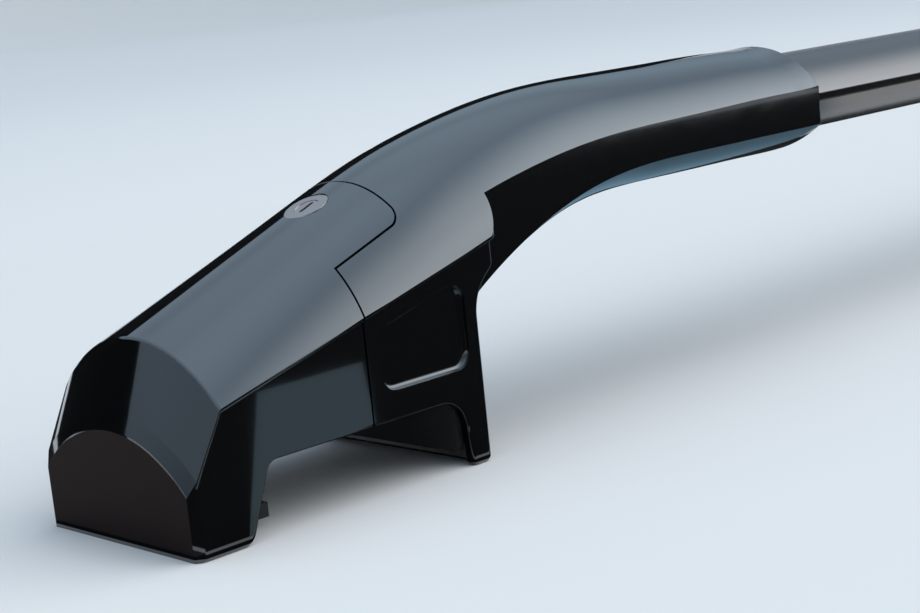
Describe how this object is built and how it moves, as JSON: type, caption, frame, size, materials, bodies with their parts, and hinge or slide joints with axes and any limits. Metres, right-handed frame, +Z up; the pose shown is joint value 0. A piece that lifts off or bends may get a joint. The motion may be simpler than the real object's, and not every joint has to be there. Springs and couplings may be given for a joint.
{
  "type": "pair of roof crossbars",
  "caption": "Pair of roof crossbars: oval aluminium bars held in gloss black arched feet that clamp a roof rail under a lockable end cover.",
  "frame": {"origin": "centre of the pair's footprint, on the plane that the feet stand on", "axes": "+X along the bars, across the vehicle; +Y along the vehicle from the front bar to the rear bar; +Z up"},
  "size_m": [1.16, 0.772, 0.1034],
  "materials": {
    "gloss_black": "piano black",
    "bar_aluminium": "satin anodised",
    "lock_metal": "bright zinc",
    "plated_steel": "zinc plated",
    "cast_alloy": "die cast",
    "coated_steel": "black powder coat",
    "rubber": "matt"
  },
  "bodies": {
    "frame": {"front_left_foot_body": "gloss_black", "front_left_clamp_base": "cast_alloy", "front_left_base_screws": "plated_steel", "front_left_clamp_nut": "plated_steel", "front_left_base_pad": "rubber", "front_left_jaw_pad": "rubber", "front_left_bar_screws": "plated_steel", "front_right_foot_body": "gloss_black", "front_right_clamp_base": "cast_alloy", "front_right_base_screws": "plated_steel", "front_right_clamp_nut": "plated_steel", "front_right_base_pad": "rubber", "front_right_jaw_pad": "rubber", "front_right_bar_screws": "plated_steel", "rear_left_foot_body": "gloss_black", "rear_left_clamp_base": "cast_alloy", "rear_left_base_screws": "plated_steel", "rear_left_clamp_nut": "plated_steel", "rear_left_base_pad": "rubber", "rear_left_jaw_pad": "rubber", "rear_left_bar_screws": "plated_steel", "rear_right_foot_body": "gloss_black", "rear_right_clamp_base": "cast_alloy", "rear_right_base_screws": "plated_steel", "rear_right_clamp_nut": "plated_steel", "rear_right_base_pad": "rubber", "rear_right_jaw_pad": "rubber", "rear_right_bar_screws": "plated_steel", "front_bar": "bar_aluminium", "rear_bar": "bar_aluminium"},
    "front_left_cover": {"front_left_end_cover": "gloss_black", "front_left_lock_barrel": "lock_metal"},
    "front_left_lock": {"front_left_lock_plug": "lock_metal", "front_left_lock_cam": "plated_steel"},
    "front_left_claw": {"front_left_clamp_claw": "coated_steel", "front_left_claw_pad": "rubber"},
    "front_left_bolt": {"front_left_clamp_bolt": "plated_steel"},
    "front_right_cover": {"front_right_end_cover": "gloss_black", "front_right_lock_barrel": "lock_metal"},
    "front_right_lock": {"front_right_lock_plug": "lock_metal", "front_right_lock_cam": "plated_steel"},
    "front_right_claw": {"front_right_clamp_claw": "coated_steel", "front_right_claw_pad": "rubber"},
    "front_right_bolt": {"front_right_clamp_bolt": "plated_steel"},
    "rear_left_cover": {"rear_left_end_cover": "gloss_black", "rear_left_lock_barrel": "lock_metal"},
    "rear_left_lock": {"rear_left_lock_plug": "lock_metal", "rear_left_lock_cam": "plated_steel"},
    "rear_left_claw": {"rear_left_clamp_claw": "coated_steel", "rear_left_claw_pad": "rubber"},
    "rear_left_bolt": {"rear_left_clamp_bolt": "plated_steel"},
    "rear_right_cover": {"rear_right_end_cover": "gloss_black", "rear_right_lock_barrel": "lock_metal"},
    "rear_right_lock": {"rear_right_lock_plug": "lock_metal", "rear_right_lock_cam": "plated_steel"},
    "rear_right_claw": {"rear_right_clamp_claw": "coated_steel", "rear_right_claw_pad": "rubber"},
    "rear_right_bolt": {"rear_right_clamp_bolt": "plated_steel"}
  },
  "joints": [
    {"name": "front_left_cover_slide", "type": "slide", "parent": "frame", "child": "front_left_cover", "axis": [-1, 0, 0], "range_m": [0, 0.09]},
    {"name": "front_left_lock_turn", "type": "hinge", "parent": "front_left_cover", "child": "front_left_lock", "pos_m": [-0.5045, -0.35, 0.07941], "axis": [-0.3665, 0, 0.9304], "range_deg": [0, 90]},
    {"name": "front_left_claw_slide", "type": "slide", "parent": "frame", "child": "front_left_claw", "axis": [-1, 0, 0], "range_m": [-0.0015, 0.0045]},
    {"name": "front_left_bolt_turn", "type": "hinge", "parent": "front_left_claw", "child": "front_left_bolt", "pos_m": [-0.5575, -0.35, 0.035], "axis": [-1, 0, 0], "range_deg": [-433, 1297]},
    {"name": "front_right_cover_slide", "type": "slide", "parent": "frame", "child": "front_right_cover", "axis": [1, 0, 0], "range_m": [0, 0.09]},
    {"name": "front_right_lock_turn", "type": "hinge", "parent": "front_right_cover", "child": "front_right_lock", "pos_m": [0.5045, -0.35, 0.07941], "axis": [0.3665, 0, 0.9304], "range_deg": [0, 90]},
    {"name": "front_right_claw_slide", "type": "slide", "parent": "frame", "child": "front_right_claw", "axis": [1, 0, 0], "range_m": [-0.0015, 0.0045]},
    {"name": "front_right_bolt_turn", "type": "hinge", "parent": "front_right_claw", "child": "front_right_bolt", "pos_m": [0.5575, -0.35, 0.035], "axis": [1, 0, 0], "range_deg": [-433, 1297]},
    {"name": "rear_left_cover_slide", "type": "slide", "parent": "frame", "child": "rear_left_cover", "axis": [-1, 0, 0], "range_m": [0, 0.09]},
    {"name": "rear_left_lock_turn", "type": "hinge", "parent": "rear_left_cover", "child": "rear_left_lock", "pos_m": [-0.5045, 0.35, 0.07941], "axis": [-0.3665, 0, 0.9304], "range_deg": [0, 90]},
    {"name": "rear_left_claw_slide", "type": "slide", "parent": "frame", "child": "rear_left_claw", "axis": [-1, 0, 0], "range_m": [-0.0015, 0.0045]},
    {"name": "rear_left_bolt_turn", "type": "hinge", "parent": "rear_left_claw", "child": "rear_left_bolt", "pos_m": [-0.5575, 0.35, 0.035], "axis": [-1, 0, 0], "range_deg": [-433, 1297]},
    {"name": "rear_right_cover_slide", "type": "slide", "parent": "frame", "child": "rear_right_cover", "axis": [1, 0, 0], "range_m": [0, 0.09]},
    {"name": "rear_right_lock_turn", "type": "hinge", "parent": "rear_right_cover", "child": "rear_right_lock", "pos_m": [0.5045, 0.35, 0.07941], "axis": [0.3665, 0, 0.9304], "range_deg": [0, 90]},
    {"name": "rear_right_claw_slide", "type": "slide", "parent": "frame", "child": "rear_right_claw", "axis": [1, 0, 0], "range_m": [-0.0015, 0.0045]},
    {"name": "rear_right_bolt_turn", "type": "hinge", "parent": "rear_right_claw", "child": "rear_right_bolt", "pos_m": [0.5575, 0.35, 0.035], "axis": [1, 0, 0], "range_deg": [-433, 1297]}
  ],
  "couplings": [
    {"joint": "front_left_bolt_turn", "follows": "front_left_claw_slide", "rad_per_m": 5026.5},
    {"joint": "front_right_bolt_turn", "follows": "front_right_claw_slide", "rad_per_m": 5026.5},
    {"joint": "rear_left_bolt_turn", "follows": "rear_left_claw_slide", "rad_per_m": 5026.5},
    {"joint": "rear_right_bolt_turn", "follows": "rear_right_claw_slide", "rad_per_m": 5026.5}
  ]
}
